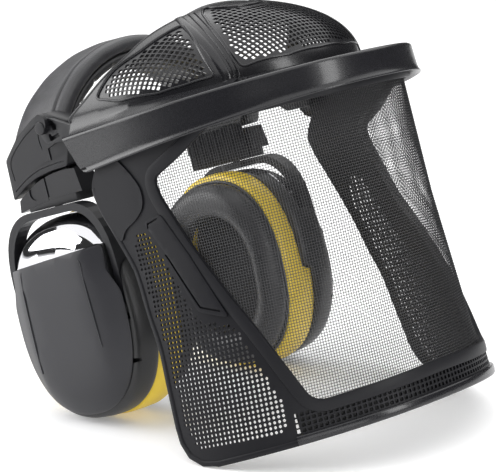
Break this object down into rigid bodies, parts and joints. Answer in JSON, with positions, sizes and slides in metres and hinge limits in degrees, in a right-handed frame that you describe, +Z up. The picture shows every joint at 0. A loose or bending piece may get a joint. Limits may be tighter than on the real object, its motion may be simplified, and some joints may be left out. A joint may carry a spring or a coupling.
{
  "type": "face shield with ear defenders",
  "caption": "Headband with padded ear cups on sliding yokes and a lift-up brow guard: vented dome, deep brim and a curved shield with a woven mesh window.",
  "frame": {"origin": "under the middle of the object's box, on the surface it stands on", "axes": "+X to the wearer's left, -Y the way the shield faces, +Z up; the object leans back 17 degrees as it stands on its ear cups and the shield's rear corners"},
  "size_m": [0.2094, 0.252, 0.2236],
  "materials": {
    "satin_plastic": "satin",
    "matt_plastic": "fine grained",
    "gloss_plastic": "polished",
    "yellow_plastic": "satin",
    "leather": "grained",
    "foam": "open cell",
    "mesh": "woven",
    "steel": "satin"
  },
  "bodies": {
    "headband": {"headband_spring": "steel", "headband_cover": "leather", "headband_pad": "leather", "bracket_housing_right": "satin_plastic", "bracket_housing_left": "satin_plastic", "bracket_plate_right": "satin_plastic", "bracket_plate_left": "satin_plastic", "bracket_screw_1_right": "steel", "bracket_screw_1_left": "steel", "bracket_screw_2_right": "steel", "bracket_screw_2_left": "steel", "latch_right": "satin_plastic", "latch_left": "satin_plastic", "brow_pivot_pin_right": "satin_plastic", "brow_pivot_pin_left": "satin_plastic"},
    "brow_guard": {"dome_shell": "satin_plastic", "grille_front": "satin_plastic", "brim_band": "satin_plastic", "visor_frame": "matt_plastic", "visor_mesh": "mesh", "visor_edging": "matt_plastic", "grille_side_right": "satin_plastic", "grille_side_left": "satin_plastic", "brow_arm_right": "satin_plastic", "brow_arm_left": "satin_plastic", "visor_clip_plate_right": "matt_plastic", "visor_clip_plate_left": "matt_plastic", "visor_stiffener_right": "matt_plastic", "visor_stiffener_left": "matt_plastic", "visor_hook_side_right": "matt_plastic", "visor_hook_side_left": "matt_plastic", "visor_hook_front_right": "matt_plastic", "visor_hook_front_left": "matt_plastic"},
    "slider_right": {"slider_block_right": "satin_plastic", "slider_rail_right": "matt_plastic"},
    "yoke_carrier_right": {"yoke_right": "satin_plastic", "yoke_stem_right": "steel"},
    "cup_right": {"cup_shell_right": "matt_plastic", "cup_cap_right": "gloss_plastic", "cup_cover_right": "matt_plastic", "cushion_ring_right": "yellow_plastic", "ear_cushion_right": "leather", "foam_insert_right": "foam", "cup_pin_front_right": "steel", "cup_pin_rear_right": "steel"},
    "slider_left": {"slider_block_left": "satin_plastic", "slider_rail_left": "matt_plastic"},
    "yoke_carrier_left": {"yoke_left": "satin_plastic", "yoke_stem_left": "steel"},
    "cup_left": {"cup_shell_left": "matt_plastic", "cup_cap_left": "gloss_plastic", "cup_cover_left": "matt_plastic", "cushion_ring_left": "yellow_plastic", "ear_cushion_left": "leather", "foam_insert_left": "foam", "cup_pin_front_left": "steel", "cup_pin_rear_left": "steel"}
  },
  "joints": [
    {"name": "brow_guard_lift", "type": "hinge", "parent": "headband", "child": "brow_guard", "pos_m": [0, 0.08355, 0.16514], "axis": [-1, 0, 0], "range_deg": [0, 75]},
    {"name": "height_slide_right", "type": "slide", "parent": "headband", "child": "slider_right", "axis": [0, -0.2924, -0.9563], "range_m": [0, 0.024]},
    {"name": "yoke_swivel_right", "type": "hinge", "parent": "slider_right", "child": "yoke_carrier_right", "pos_m": [-0.0756, 0.08605, 0.12203], "axis": [0, 0.2924, 0.9563], "range_deg": [-8, 8]},
    {"name": "cup_tilt_right", "type": "hinge", "parent": "yoke_carrier_right", "child": "cup_right", "pos_m": [-0.0805, 0.06617, 0.057], "axis": [0, 0.9563, -0.2924], "range_deg": [-5, 5]},
    {"name": "height_slide_left", "type": "slide", "parent": "headband", "child": "slider_left", "axis": [0, -0.2924, -0.9563], "range_m": [0, 0.024]},
    {"name": "yoke_swivel_left", "type": "hinge", "parent": "slider_left", "child": "yoke_carrier_left", "pos_m": [0.0756, 0.08605, 0.12203], "axis": [0, 0.2924, 0.9563], "range_deg": [-8, 8]},
    {"name": "cup_tilt_left", "type": "hinge", "parent": "yoke_carrier_left", "child": "cup_left", "pos_m": [0.0805, 0.06617, 0.057], "axis": [0, 0.9563, -0.2924], "range_deg": [-5, 5]}
  ]
}
